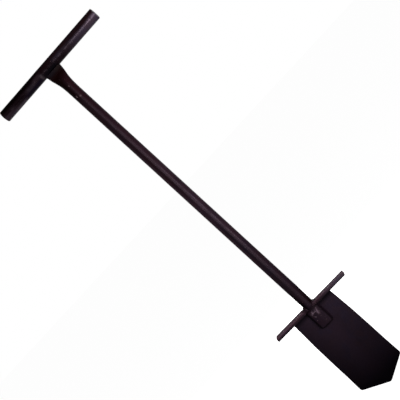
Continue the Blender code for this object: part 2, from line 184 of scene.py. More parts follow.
# Beads on the blade's top edge and the weld behind the shaft
BLADE_BEAD_RADIUS = 0.0029
BLADE_BEAD_STAND_OFF = 0.0004
BLADE_BEAD_MIDDLE = 0.0385
BLADE_BEAD_HALF = 0.0165
BACK_WELD_PLACE = (BLADE_OFFSET, 0.0078, -0.7951)
BACK_WELD_RADII = (0.0165, 0.0062, 0.0075)
LUMP_SLANT = 0.35

# Small drops of weld spatter on the front, as (x, z, half width, half height)
SHAFT_DROPS = (
    (0.0006, -0.0631, 0.0015, 0.0023),
    (-0.0056, -0.0915, 0.0016, 0.0036),
    (0.0024, -0.0957, 0.0027, 0.0035),
    (0.0052, -0.0465, 0.0006, 0.0006),
    (-0.0043, -0.0391, 0.0005, 0.0005),
    (0.0031, -0.1303, 0.0006, 0.0007),
    (-0.0035, -0.7701, 0.0006, 0.0006),
    (0.0062, -0.7612, 0.0005, 0.0006),
    (0.0018, -0.7488, 0.0004, 0.0004),
)
HANDLE_DROPS = (
    (-0.0262, -0.0058, 0.0008, 0.0012),
    (0.0781, -0.0062, 0.0009, 0.0009),
    (0.0131, 0.0021, 0.0008, 0.0006),
    (0.0214, -0.0008, 0.0016, 0.0006),
    (0.0268, -0.0083, 0.0005, 0.0005),
)
TANG_DROPS = (
    (-0.0117, -0.8243, 0.0008, 0.0010),
    (0.0051, -0.8365, 0.0009, 0.0008),
    (0.0078, -0.8291, 0.0005, 0.0005),
    (-0.0061, -0.8312, 0.0004, 0.0004),
    (0.0019, -0.8218, 0.0005, 0.0005),
)
# How far a drop sinks in and how high it stands, as shares of its half width
DROP_SINK = 0.25
DROP_HEIGHT = 0.7

# Camera: the photo's viewing angle, with the shaft lying diagonally in the picture
CAMERA_PLACE = (0.30597, -1.97646, -0.34106)
CAMERA_YAW = radians(8.5527)
CAMERA_PITCH = radians(3.0)
CAMERA_ROLL = (0.6753, 0.7375)
CAMERA_LENS = 80.7
CAMERA_SENSOR = 36.0
CAMERA_NEAR = 0.01
CAMERA_FAR = 200.0


# Small helpers


def ease(t):
    """Smooth step from 0 to 1."""
    t = min(max(t, 0.0), 1.0)
    return t * t * (3 - 2 * t)


def between(start, end, steps):
    """Evenly spaced values from start to end."""
    return [start + (end - start) * step / steps for step in range(steps + 1)]


def chained(*stops):
    """Values along a chain of stops, each stop as (value, steps from the stop before it)."""
    values = [stops[0][0]]
    for (start, _), (end, steps) in zip(stops, stops[1:]):
        values += between(start, end, steps)[1:]
    return values


def rough(point, wavelength):
    """Smooth noise between about -1 and 1, the same on each run."""
    return noise.noise(Vector(point) / wavelength)


def scallop(way, pitch):
    """Rounded ripples with sharp valleys, as a weld bead has them, from 0 to 1."""
    return abs(sin(pi * way / pitch))


def bead_lift(way, place, ripple, pitch, lumps, wavelength, level):
    """Height of a weld over its plain shape, with ripples along the bead and soft lumps."""
    return ripple * (scallop(way, pitch) - level) + lumps * rough(place, wavelength)


# Meshes


def add_piece(name, build, material, nodes=()):
    """Makes a closed mesh piece that rides on the body, and stands for the CAD nodes named."""
    shape = bmesh.new()
    build(shape)
    bmesh.ops.recalc_face_normals(shape, faces=shape.faces)
    mesh = bpy.data.meshes.new(name)
    shape.to_mesh(mesh)
    shape.free()
    mesh.shade_smooth()
    mesh.set_sharp_from_angle(angle=SMOOTH_ANGLE)
    obj = bpy.data.objects.new(name, mesh)
    bpy.context.scene.collection.objects.link(obj)
    mesh.materials.append(material)
    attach(obj, "root")
    if nodes:
        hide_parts(*nodes)


def add_rows(shape, rows, capped=True):
    """Skins a chain of rings with equal counts of points."""
    grid = [[shape.verts.new(point) for point in row] for row in rows]
    count = len(grid[0])
    for lower, upper in zip(grid, grid[1:]):
        for i in range(count):
            j = (i + 1) % count
            shape.faces.new((lower[i], lower[j], upper[j], upper[i]))
    if capped:
        shape.faces.new(list(reversed(grid[0])))
        shape.faces.new(grid[-1])
    return grid


def slot_point(width, depth, fraction):
    """Point at a fraction of the way round a slot: two straight sides and two half-round ends."""
    radius = depth / 2
    straight = width - depth
    round_end = pi * radius
    way = (fraction % 0.5) * 2 * (straight + round_end)
    side = 1 if fraction % 1.0 < 0.5 else -1
    if way < round_end / 2:
        turn = way / radius
        x, y = straight / 2 + radius * cos(turn), radius * sin(turn)
    elif way < round_end / 2 + straight:
        x, y = straight / 2 + round_end / 2 - way, radius
    else:
        turn = (way - straight) / radius
        x, y = radius * cos(turn) - straight / 2, radius * sin(turn)
    return Vector((side * x, side * y))


def slot_ring(width, depth, centre_x, centre_y, z, count):
    """Ring of points round a slot at one height."""
    points = [slot_point(width, depth, i / count) for i in range(count)]
    return [(centre_x + point.x, centre_y + point.y, z) for point in points]


def slot_girth(width, depth):
    """Length of the line round a slot."""
    return 2 * (width - depth) + pi * depth


def unevenness(place, axis):
    """How far a tube's wall is in or out of true at a place, from about -1 to 1."""
    drawn_out = Vector(place)
    drawn_out[axis] /= WAVE_STRETCH
    return WAVE_SHARE * rough(drawn_out, WAVE_LENGTH) + FINE_WAVE_SHARE * rough(place, FINE_WAVE_LENGTH)


# Shaft


def pressed_depth(width):
    """Depth of the tube where it is pressed to a width, from its unchanged girth."""
    girth = pi * (SHAFT_DIAMETER - SHAFT_WALL)
    return (girth - 2 * (width - SHAFT_WALL)) / (pi - 2) + SHAFT_WALL


def shaft_width(z):
    """Width of the tube at a height, flared at the neck and at the tang."""
    if z > PRESS_TOP:
        below_flat = max(NECK_FLAT_END - z, 0.0)
        flare = exp(-((below_flat / NECK_FADE_LENGTH) ** NECK_FADE_POWER))
        return SHAFT_DIAMETER + (NECK_WIDTH - SHAFT_DIAMETER) * flare
    pressed = ease((PRESS_TOP - z) / (PRESS_TOP - PRESS_END))
    return SHAFT_DIAMETER + (TANG_WIDTH - SHAFT_DIAMETER) * pressed


def reach_of_circle(start, direction, radius):
    """Distance from a start inside a circle to its edge, and 0 where the line misses it."""
    along = start.dot(direction)
    inside = along * along - start.length_squared + radius * radius
    return max(inside**0.5 - along, 0.0) if inside > 0 and radius > 0 else 0.0


def crowned(place, centre, width, depth):
    """Rounds the front of a pressed ring a little, as a press leaves it, without going outside the ring."""
    if place[1] > centre[1]:
        return Vector(place)
    flatness = min(CROWN_ONSET * (width - depth) / width, 1.0)
    across = 2 * (place[0] - centre[0]) / width
    drawn_in = 1 - PRESS_CROWN * flatness * across * across
    return Vector((place[0], centre[1] + (place[1] - centre[1]) * drawn_in, place[2]))


def tang_front(x):
    """Place of the tang's front face at x, with its crown."""
    depth = pressed_depth(TANG_WIDTH)
    centre = (BLADE_OFFSET, TANG_BACK - depth / 2)
    return crowned((x, TANG_BACK - depth, 0.0), centre, TANG_WIDTH, depth).y


def dome_radius(z, grow):
    """Radius of the rounded end of the round tube, where it runs into the pressed tang."""
    into = min(max((DOME_TOP - z) / (DOME_LENGTH + grow), 0.0), 1.0)
    return (SHAFT_DIAMETER / 2 + grow) * (1 - into * into) ** 0.5


def shaft_ring(z, grow, inset=0.0):
    """Ring of the shaft at a height, grown or shrunk all round, and drawn in at the tang's end."""
    width = shaft_width(z)
    depth = pressed_depth(width)
    pressed = ease((PRESS_TOP - z) / (PRESS_TOP - PRESS_END))
    shallower = inset / 2
    centre = Vector((
        pressed * BLADE_OFFSET,
        pressed * (TANG_BACK - pressed_depth(TANG_WIDTH) / 2) + shallower / 2,
    ))
    ring = slot_ring(width - 2 * inset + 2 * grow, depth - shallower + 2 * grow, *centre, z, TUBE_POINTS)
    ring = [crowned(place, centre, width, depth) for place in ring]
    if z > PRESS_TOP:
        return ring
    radius = dome_radius(z, grow)
    domed = []
    for x, y, _ in ring:
        out = Vector((x, y)) - centre
        reach = max(out.length, reach_of_circle(centre, out.normalized(), radius))
        domed.append((*(centre + out.normalized() * reach), z))
    return domed


def worn_ring(ring):
    """Moves a ring's points a little in and out, as a rolled and hammered tube has them."""
    middle = Vector([sum(axis) for axis in zip(*ring)]) / len(ring)
    worn = []
    for point in ring:
        place = Vector(point)
        out = (place - middle).normalized()
        worn.append(place + out * SHAFT_UNEVENNESS * unevenness(place, 2))
    return worn


def build_shaft(shape):
    """One tube from the flattened neck to the tang, with its bore."""
    dome_end = DOME_TOP - DOME_LENGTH
    bore_heights = chained(
        (BORE_END, 0),
        (dome_end, 1),
        (PRESS_TOP, 12),
        (NECK_ROUND, 1),
        (NECK_FLAT_END, 16),
        (NECK_TOP, 1),
    )
    outside_heights = chained(
        (NECK_TOP, 0),
        (NECK_TOP - NECK_RIM, 1),
        (NECK_FLAT_END, 5),
        (NECK_ROUND, 40),
        (PRESS_TOP, 120),
        (dome_end, 30),
        (TANG_END + TANG_CORNER, 16),
    )
    rings = [shaft_ring(z, -SHAFT_WALL) for z in bore_heights]
    rings += [worn_ring(shaft_ring(z, 0.0)) for z in outside_heights]
    for turn in between(0.0, pi / 2, CORNER_STEPS)[1:]:
        z = TANG_END + TANG_CORNER * (1 - sin(turn))
        inset = TANG_CORNER * (1 - cos(turn))
        rings.append(worn_ring(shaft_ring(z, 0.0, inset)))
    add_rows(shape, rings)


# Handle


def handle_row(along, radius, uneven):
    """Ring of points round the handle at a distance along it, uneven only inwards."""
    row = []
    for i in range(TUBE_POINTS):
        turn = 2 * pi * i / TUBE_POINTS
        place = Vector((HANDLE_OFFSET + along, radius * cos(turn), radius * sin(turn)))
        out = Vector((0.0, cos(turn), sin(turn)))
        if uneven:
            place += out * HANDLE_UNEVENNESS * (unevenness(place, 0) - 1.0)
        row.append(place)
    return row


def build_handle(shape):
    """Round tube with eased ends and an open bore."""
    half = HANDLE_LENGTH / 2
    bore = HANDLE_RADIUS - HANDLE_WALL
    edge = []
    for turn in between(0.0, pi / 2, HANDLE_EDGE_STEPS):
        drawn_in = HANDLE_EDGE * (1 - cos(turn))
        edge.append((half - HANDLE_EDGE + HANDLE_EDGE * sin(turn), HANDLE_RADIUS - drawn_in))
    inner = between(HANDLE_EDGE - half, half - HANDLE_EDGE, HANDLE_STEPS)[1:-1]
    profile = [(-half, bore)] + [(-along, radius) for along, radius in reversed(edge)]
    profile += [(along, HANDLE_RADIUS) for along in inner] + edge + [(half, bore)]
    rows = [handle_row(along, radius, radius > bore) for along, radius in profile]
    grid = add_rows(shape, rows, capped=False)
    first, last = grid[0], grid[-1]
    for i in range(TUBE_POINTS):
        j = (i + 1) % TUBE_POINTS
        shape.faces.new((first[j], first[i], last[i], last[j]))


# Welds


def build_neck_weld(shape):
    """Fillet round the neck, with the ripples of its passes, painted over."""
    depth = pressed_depth(NECK_WIDTH)
    rings = []
    for z in between(NECK_BEAD_TOP, NECK_BEAD_FOOT, NECK_BEAD_STEPS):
        down = max(NECK_BEAD_FULL - z, 0.0) / (NECK_BEAD_FULL - NECK_BEAD_FOOT)
        swell = (1 - down) ** NECK_BEAD_FADE
        width = NECK_WIDTH + 2 * NECK_BEAD_SIDE * swell
        deep = depth + 2 * NECK_BEAD_FRONT * swell
        girth = slot_girth(width, deep)
        ring = []
        for i, point in enumerate(slot_ring(width, deep, 0.0, 0.0, z, NECK_BEAD_POINTS)):
            place = Vector(point)
            out = Vector((place.x / NECK_BEAD_FORWARD, place.y, 0.0)).normalized()
            way = girth * i / NECK_BEAD_POINTS + NECK_BEAD_SLANT * (z - NECK_BEAD_FOOT)
            ring.append(place + out * bead_lift(way, place, **NECK_RIPPLES) * swell)
        rings.append(ring)
    add_rows(shape, rings)


def build_tread_weld(side):
    """Fillet from the shaft to the inner end of a tread, running over its top and down its front."""

    def build(shape):
        outer = TREAD_INNER - GAP + TREAD_WELD_LAP
        low = TREAD_BOTTOM - TREAD_WELD_DROP
        rings = []
        for x in between(TREAD_WELD_INNER, outer, TREAD_WELD_STEPS):
            slack = min(max(TREAD_WELD_SHOULDER - x, 0.0) / TREAD_WELD_RUN, 1.0)
            high = TREAD_TOP + TREAD_WELD_LIP + TREAD_WELD_RISE * slack * slack
            middle = (high + low) / 2
            ring = []
            for y, z, _ in slot_ring(TREAD_WELD_DEPTH, high - low, 0.0, middle, x, TREAD_WELD_POINTS):
                place = Vector((BLADE_OFFSET + SIDES[side] * x, y, z))
                out = Vector((0.0, y, z - middle)).normalized()
                way = y + TREAD_WELD_SLANT * abs(x - TREAD_WELD_CREST)
                ring.append(place + out * bead_lift(way, place, **TREAD_RIPPLES))
            rings.append(ring)
        add_rows(shape, rings)

    return build


def tang_path(way):
    """Place and heading at a distance along the line down one side of the tang, round and up the other."""
    mirrored = way > TANG_BEAD_LENGTH / 2
    near = TANG_BEAD_LENGTH - way if mirrored else way
    if near < TANG_BEAD_SIDE:
        x, z, heading = -TANG_BEAD_REACH, TANG_BEAD_TOP - near, Vector((0.0, 0.0, -1.0))
    elif near < TANG_BEAD_SIDE + TANG_BEAD_BEND:
        turn = (near - TANG_BEAD_SIDE) / TANG_CORNER
        x = TANG_CORNER - TANG_BEAD_REACH - TANG_CORNER * cos(turn)
        z = TANG_BEAD_LOW + TANG_CORNER - TANG_CORNER * sin(turn)
        heading = Vector((sin(turn), 0.0, -cos(turn)))
    else:
        x = TANG_CORNER - TANG_BEAD_REACH + near - TANG_BEAD_SIDE - TANG_BEAD_BEND
        z, heading = TANG_BEAD_LOW, Vector((1.0, 0.0, 0.0))
    if mirrored:
        x, heading = -x, Vector((heading.x, 0.0, -heading.z))
    return Vector((x + BLADE_OFFSET, BLADE_FRONT - TANG_BEAD_INSET, z)), heading


def build_tang_weld(shape):
    """Bead between the tang's sides and the blade, down one side, round the end and up the other."""
    forward = Vector((0.0, -1.0, 0.0))
    rings = []
    for way in between(0.0, TANG_BEAD_LENGTH, TANG_BEAD_STEPS):
        place, ahead = tang_path(way)
        across = Vector((ahead.z, 0.0, -ahead.x))
        taper = max(min(way, TANG_BEAD_LENGTH - way) / TANG_BEAD_TAPER, 0.0)
        size = TANG_BEAD_RADIUS * min(1.0, TANG_BEAD_START + (1 - TANG_BEAD_START) * taper**0.5)
        ring = []
        for i in range(TANG_BEAD_POINTS):
            turn = 2 * pi * i / TANG_BEAD_POINTS
            lump = rough((place.x, turn / TANG_BEAD_LUMP_TURN, place.z), TANG_BEAD_LUMP_LENGTH)
            ripple = scallop(way + TANG_BEAD_LAG * cos(turn), TANG_BEAD_PITCH)
            bump = TANG_BEAD_BODY + TANG_BEAD_RIPPLE * ripple + TANG_BEAD_LUMPS * lump
            offset = across * cos(turn) + forward * sin(turn)
            ring.append(place + offset * size * bump)
        rings.append(ring)
    add_rows(shape, rings)


def tang_lump_height(x, z):
    """Height of the weld over the tang's front, in metres."""
    height = 0.0
    for lump_x, lump_z, across, up, size in TANG_LUMPS:
        away = ((x / MILLIMETRE - lump_x) / across) ** 2 + ((z / MILLIMETRE - lump_z) / up) ** 2
        height += size * exp(-away / 2)
    for size, wavelength, layer in TANG_GRAIN:
        height += size * rough((x, layer, z), wavelength)
    inside = min(x - PATCH_LEFT, PATCH_RIGHT - x, z - PATCH_LOW, PATCH_HIGH - z)
    fall = PATCH_FALL * (1 - ease(inside / PATCH_FADE))
    return MILLIMETRE * (height - PATCH_LEVEL - fall)


def patch_points(shape, height_at):
    """Rows of points over the tang's front, at the height that a function gives."""
    grid = []
    for z in between(PATCH_LOW, PATCH_HIGH, PATCH_ROWS):
        row = []
        for x in between(PATCH_LEFT, PATCH_RIGHT, PATCH_COLUMNS):
            row.append(shape.verts.new((x, tang_front(x) - height_at(x, z), z)))
        grid.append(row)
    return grid


def patch_rim(grid):
    """Points round the edge of a patch, in order."""
    right_side = [row[-1] for row in grid]
    left_side = [row[0] for row in reversed(grid)]
    return grid[0] + right_side[1:] + list(reversed(grid[-1]))[1:] + left_side[1:-1]


def build_tang_top_weld(shape):
    """Lumps of weld run together round a crater, as a closed patch that sinks into the tang."""
    surface = patch_points(shape, lambda x, z: max(tang_lump_height(x, z), PATCH_LOWEST))
    underside = patch_points(shape, lambda x, z: PATCH_UNDERSIDE)
    for grid in (surface, underside):
        for lower, upper in zip(grid, grid[1:]):
            for i in range(PATCH_COLUMNS):
                shape.faces.new((lower[i], lower[i + 1], upper[i + 1], upper[i]))
    rim, lower_rim = patch_rim(surface), patch_rim(underside)
    for i in range(len(rim)):
        j = (i + 1) % len(rim)
        shape.faces.new((rim[i], rim[j], lower_rim[j], lower_rim[i]))


def build_lump(centre, radii, ripples):
    """Long lump of weld with ripples across it."""

    def build(shape):
        bmesh.ops.create_uvsphere(shape, u_segments=64, v_segments=48, radius=1.0)
        bmesh.ops.rotate(shape, cent=(0, 0, 0), matrix=Matrix.Rotation(pi / 2, 3, "Y"), verts=shape.verts)
        for vert in shape.verts:
            out = vert.co.normalized()
            place = Vector(centre) + Vector([a * b for a, b in zip(vert.co, radii)])
            way = place.x + LUMP_SLANT * abs(place.y - centre[1])
            vert.co = place + Vector((0.0, out.y, out.z)) * bead_lift(way, place, **ripples)

    return build


def drop_places():
    """Place, outward direction and half sizes of each drop of spatter."""
    for x, z, *size in SHAFT_DROPS:
        y = -((SHAFT_DIAMETER / 2) ** 2 - x * x) ** 0.5
        yield Vector((x, y, z)), Vector((x, y, 0.0)), size
    for x, z, *size in HANDLE_DROPS:
        y = -(HANDLE_RADIUS**2 - z * z) ** 0.5
        yield Vector((x, y, z)), Vector((0.0, y, z)), size
    for x, z, *size in TANG_DROPS:
        yield Vector((x, tang_front(x), z)), Vector((0.0, -1.0, 0.0)), size


def build_drops(shape):
    """Flattened drops of spatter on the front of the handle, the shaft and the tang."""
    for place, outward, (half_width, half_height) in drop_places():
        tilt = outward.normalized().to_track_quat("Z", "Y").to_matrix().to_4x4()
        sunk = place - outward.normalized() * half_width * DROP_SINK
        flat = Matrix.Diagonal((half_width, half_height, DROP_HEIGHT * half_width, 1.0))
        matrix = Matrix.Translation(sunk) @ tilt @ flat
        bmesh.ops.create_uvsphere(shape, u_segments=20, v_segments=12, radius=1.0, matrix=matrix)


# Shader nodes

NOISE_ROUGHNESS = 0.55
# Colour sockets of a mix node
MIX_FIRST = 6
MIX_SECOND = 7
MIX_RESULT = 2


def add_node(tree, kind, values=None, **settings):
    """Adds a node, with settings as its properties and values for its sockets."""
    node = tree.nodes.new(kind)
    for key, value in settings.items():
        setattr(node, key, value)
    for key, value in (values or {}).items():
        node.inputs[key].default_value = value
    return node


def noise_of(tree, source, scale, detail):
    """Soft noise from 0 to 1 over a place."""
    values = {"Scale": scale, "Detail": detail, "Roughness": NOISE_ROUGHNESS}
    node = add_node(tree, "ShaderNodeTexNoise", values)
    tree.links.new(source, node.inputs["Vector"])
    return node.outputs["Fac"]


def stretched(tree, source, scale):
    """Place with each axis scaled."""
    node = add_node(tree, "ShaderNodeMapping", {"Scale": scale})
    tree.links.new(source, node.inputs["Vector"])
    return node.outputs["Vector"]


def ranged(tree, source, low, high, out_low=0.0, out_high=1.0, kind="SMOOTHSTEP"):
    """Maps a value from one range to another, with smooth ends unless the kind is linear."""
    node = add_node(tree, "ShaderNodeMapRange", interpolation_type=kind)
    node.inputs["From Min"].default_value = low
    node.inputs["From Max"].default_value = high
    node.inputs["To Min"].default_value = out_low
    node.inputs["To Max"].default_value = out_high
    tree.links.new(source, node.inputs["Value"])
    return node.outputs["Result"]


def maths(tree, operation, first, second=0.0):
    """Result of one operation on two values, each a socket or a number."""
    node = add_node(tree, "ShaderNodeMath", operation=operation)
    for socket, value in zip(node.inputs, (first, second)):
        if isinstance(value, (int, float)):
            socket.default_value = value
        else:
            tree.links.new(value, socket)
    return node.outputs["Value"]


def added(tree, first, *others):
    """Sum of values."""
    total = first
    for other in others:
        total = maths(tree, "ADD", total, other)
    return total


def scaled(tree, source, factor):
    """Value times a factor."""
    return maths(tree, "MULTIPLY", source, factor)


def mixed(tree, factor, first, second):
    """Colour between two colours, each a socket or three numbers."""
    node = add_node(tree, "ShaderNodeMix", data_type="RGBA")
    tree.links.new(factor, node.inputs["Factor"])
    for index, value in ((MIX_FIRST, first), (MIX_SECOND, second)):
        if isinstance(value, tuple):
            node.inputs[index].default_value = (*value, 1.0)
        else:
            tree.links.new(value, node.inputs[index])
    return node.outputs[MIX_RESULT]


def tinted(tree, factor, colour, tint):
    """Colour multiplied by a tint, as far as the factor says."""
    node = add_node(tree, "ShaderNodeMix", data_type="RGBA", blend_type="MULTIPLY")
    tree.links.new(factor, node.inputs["Factor"])
    tree.links.new(colour, node.inputs[MIX_FIRST])
    node.inputs[MIX_SECOND].default_value = (*tint, 1.0)
    return node.outputs[MIX_RESULT]


# Masks

# Painted shade along the bead round the tang: how far inside the outline it runs, its half width, how strong
# it is on the right, and where it fades
SEAM_INSET = 0.0015
SEAM_HALF = (0.0010, 0.0034)
SEAM_RIGHT = 0.72
SEAM_FADE_X = (0.0, 0.010)
SEAM_FADE_Y = (BLADE_BACK - 0.001, BLADE_FRONT + 0.001)
SEAM_FADE_Z = (-0.794, -0.797)


def edge_mask(tree, radius, low, high):
    """1 on worn edges and 0 on flats, from how far a rounded normal leans from the true one."""
    bevel = add_node(tree, "ShaderNodeBevel", {"Radius": radius}, samples=6)
    normal = add_node(tree, "ShaderNodeNewGeometry")
    dot = add_node(tree, "ShaderNodeVectorMath", operation="DOT_PRODUCT")
    tree.links.new(bevel.outputs["Normal"], dot.inputs[0])
    tree.links.new(normal.outputs["Normal"], dot.inputs[1])
    return ranged(tree, maths(tree, "SUBTRACT", 1.0, dot.outputs["Value"]), low, high)


def crease_shade_mask(tree, reach, low, high):
    """1 in grooves and corners, where shade falls and dirt gathers, and 0 on open faces."""
    shade = add_node(tree, "ShaderNodeAmbientOcclusion", {"Distance": reach}, samples=8)
    return ranged(tree, shade.outputs["AO"], low, high, out_low=1.0, out_high=0.0)


def spanned(tree, sides, spans):
    """Product of masks, each (axis, start, end) and going from 0 to 1 between two places on its axis."""
    mask = None
    for axis, start, end in spans:
        part = ranged(tree, sides.outputs[axis], start, end, kind="LINEAR")
        mask = part if mask is None else maths(tree, "MULTIPLY", mask, part)
    return mask


def tang_shade_line(tree, sides):
    """1 along the weld that runs round the tang, where shade is painted along the tang's rounded flank, and 0
    away from it.
    """
    across = maths(tree, "ABSOLUTE", maths(tree, "SUBTRACT", sides.outputs["X"], BLADE_OFFSET))
    beside = maths(tree, "SUBTRACT", across, TANG_WIDTH / 2 - TANG_CORNER)
    below = maths(tree, "SUBTRACT", TANG_END + TANG_CORNER, sides.outputs["Z"])
    corner = add_node(tree, "ShaderNodeCombineXYZ")
    tree.links.new(maths(tree, "MAXIMUM", beside, 0.0), corner.inputs["X"])
    tree.links.new(maths(tree, "MAXIMUM", below, 0.0), corner.inputs["Z"])
    reach = add_node(tree, "ShaderNodeVectorMath", operation="LENGTH")
    tree.links.new(corner.outputs[0], reach.inputs[0])
    from_line = maths(tree, "SUBTRACT", reach.outputs["Value"], TANG_CORNER - SEAM_INSET)
    line = ranged(tree, maths(tree, "ABSOLUTE", from_line), *SEAM_HALF, out_low=1.0, out_high=0.0)
    line = maths(tree, "MULTIPLY", line, ranged(tree, sides.outputs["X"], *SEAM_FADE_X, 1.0, SEAM_RIGHT))
    line = maths(tree, "MULTIPLY", line, ranged(tree, sides.outputs["Y"], *SEAM_FADE_Y))
    return maths(tree, "MULTIPLY", line, ranged(tree, sides.outputs["Z"], *SEAM_FADE_Z))


# Paint

TANG_FRONT = TANG_BACK - pressed_depth(TANG_WIDTH)
# Colours that the coats share, then the share of each mask in the colour, the roughness and the relief
# The crease colour is painted shade, laid into grooves and corners and along a shade line.
CREASE_SHADE = (0.0012, 0.0007, 0.0009)
WARM = (1.03, 0.97, 0.90)
COOL = (0.90, 0.99, 1.08)
GLOSS_TINT = (1.0, 0.78, 0.95)
CLOUD_SHARE = 0.7
BLOTCH_SHARE = 0.3
SCRATCH_SHARE = 0.35
SCRATCH_SCALE = (900.0, 900.0, 30.0)
WEAR_SHARE = 0.6
WEAR_RADIUS = 0.0012
WEAR_RANGE = (0.03, 0.22)
# Share, reach and range of the painted crease shade.
CREASE_SHADE_SHARE = 0.88
CREASE_SHADE_REACH = 0.005
CREASE_SHADE_RANGE = (0.35, 0.85)
BLOTCH_ROUGHNESS = 0.14
SPECKLE_ROUGHNESS = 0.16
WEAR_ROUGHNESS = -0.08
DIRT_ROUGHNESS = 0.2
SPECKLE_RELIEF = 0.35
SCRATCH_RELIEF = -0.4
RELIEF_DEPTH = 0.0002


def coat_masks(tree, place, grain):
    """Clouds, blotches, fine speckle, orange peel and long scratches, each from 0 to 1."""
    streaks = stretched(tree, place, SCRATCH_SCALE)
    return {
        "clouds": ranged(tree, noise_of(tree, place, scale=16.0, detail=5.0), low=0.33, high=0.67),
        "blotches": ranged(tree, noise_of(tree, place, scale=70.0, detail=4.0), low=0.40, high=0.66),
        "speckle": noise_of(tree, place, scale=900.0 * grain, detail=3.0),
        "peel": noise_of(tree, place, scale=420.0 * grain, detail=2.0),
        "scratches": ranged(tree, noise_of(tree, streaks, scale=1.0, detail=2.0), low=0.62, high=0.72),
    }


def coat_tone(tree, place, sides, masks, dark, light, worn, fades):
    """Colour of the paint with its fades, some of them painted light and shade, before wear and the painted
    crease shade.
    """
    clouds = scaled(tree, masks["clouds"], CLOUD_SHARE)
    blotches = scaled(tree, masks["blotches"], BLOTCH_SHARE)
    colour = mixed(tree, added(tree, clouds, blotches), dark, light)
    colour = mixed(tree, scaled(tree, masks["scratches"], SCRATCH_SHARE), colour, worn)
    for tip, *spans in fades:
        colour = mixed(tree, spanned(tree, sides, spans), colour, tip)
    warm = ranged(tree, noise_of(tree, place, scale=23.0, detail=3.0), low=0.46, high=0.66)
    cool = ranged(tree, noise_of(tree, place, scale=37.0, detail=3.0), low=0.48, high=0.66)
    return tinted(tree, cool, tinted(tree, warm, colour, WARM), COOL)


def coat_roughness(tree, sides, masks, wear, shade_and_dirt, roughness, polish):
    """Roughness of the paint: blotchy and speckled, smoother where worn and duller where dirty."""
    spread = added(
        tree,
        scaled(tree, maths(tree, "SUBTRACT", masks["blotches"], 0.5), BLOTCH_ROUGHNESS),
        scaled(tree, maths(tree, "SUBTRACT", masks["speckle"], 0.5), SPECKLE_ROUGHNESS),
        scaled(tree, wear, WEAR_ROUGHNESS),
        scaled(tree, shade_and_dirt, DIRT_ROUGHNESS),
        roughness,
    )
    if polish:
        change, *spans = polish
        spread = added(tree, spread, scaled(tree, spanned(tree, sides, spans), change))
    return spread


def coat_relief(tree, masks, bump):
    """Normal of the paint, from its orange peel, speckle and scratches."""
    speckle = scaled(tree, masks["speckle"], SPECKLE_RELIEF)
    scratches = scaled(tree, masks["scratches"], SCRATCH_RELIEF)
    bumps = add_node(tree, "ShaderNodeBump", {"Strength": bump, "Distance": RELIEF_DEPTH})
    tree.links.new(added(tree, masks["peel"], speckle, scratches), bumps.inputs["Height"])
    return bumps.outputs["Normal"]


def paint(
    name, dark, light, worn, roughness, specular, bump, fades=(), grain=1.0, shade_line=None, polish=None
):
    """Coat of old black paint: cloudy tone, orange peel, scratches, worn edges, and painted shade with dull
    dirt in the grooves.

    Each fade is a colour and one or more spans: the tone goes over to the colour where all the spans reach 1.
    Polish is a change of roughness and its spans. The shade line is a function that makes a mask of painted
    shade.
    Grain scales the fineness of the speckle and the orange peel.
    """
    material = bpy.data.materials.new(name)
    material.use_nodes = True
    tree = material.node_tree
    shader = tree.nodes["Principled BSDF"]
    shader.inputs["Specular IOR Level"].default_value = specular
    shader.inputs["Specular Tint"].default_value = (*GLOSS_TINT, 1.0)
    place = add_node(tree, "ShaderNodeTexCoord").outputs["Object"]
    sides = add_node(tree, "ShaderNodeSeparateXYZ")
    tree.links.new(place, sides.inputs[0])
    masks = coat_masks(tree, place, grain)
    colour = coat_tone(tree, place, sides, masks, dark, light, worn, fades)
    wear = maths(tree, "MULTIPLY", edge_mask(tree, WEAR_RADIUS, *WEAR_RANGE), masks["blotches"])
    colour = mixed(tree, scaled(tree, wear, WEAR_SHARE), colour, worn)
    # Painted shade in grooves and corners, from how closed in they are, and along a shade line if given; the
    # same mask dulls the paint as dirt.
    shade_and_dirt = crease_shade_mask(tree, CREASE_SHADE_REACH, *CREASE_SHADE_RANGE)
    if shade_line:
        shade_and_dirt = maths(tree, "MAXIMUM", shade_and_dirt, shade_line(tree, sides))
    colour = mixed(tree, scaled(tree, shade_and_dirt, CREASE_SHADE_SHARE), colour, CREASE_SHADE)
    spread = coat_roughness(tree, sides, masks, wear, shade_and_dirt, roughness, polish)
    tree.links.new(colour, shader.inputs["Base Color"])
    tree.links.new(spread, shader.inputs["Roughness"])
    tree.links.new(coat_relief(tree, masks, bump), shader.inputs["Normal"])
    return material


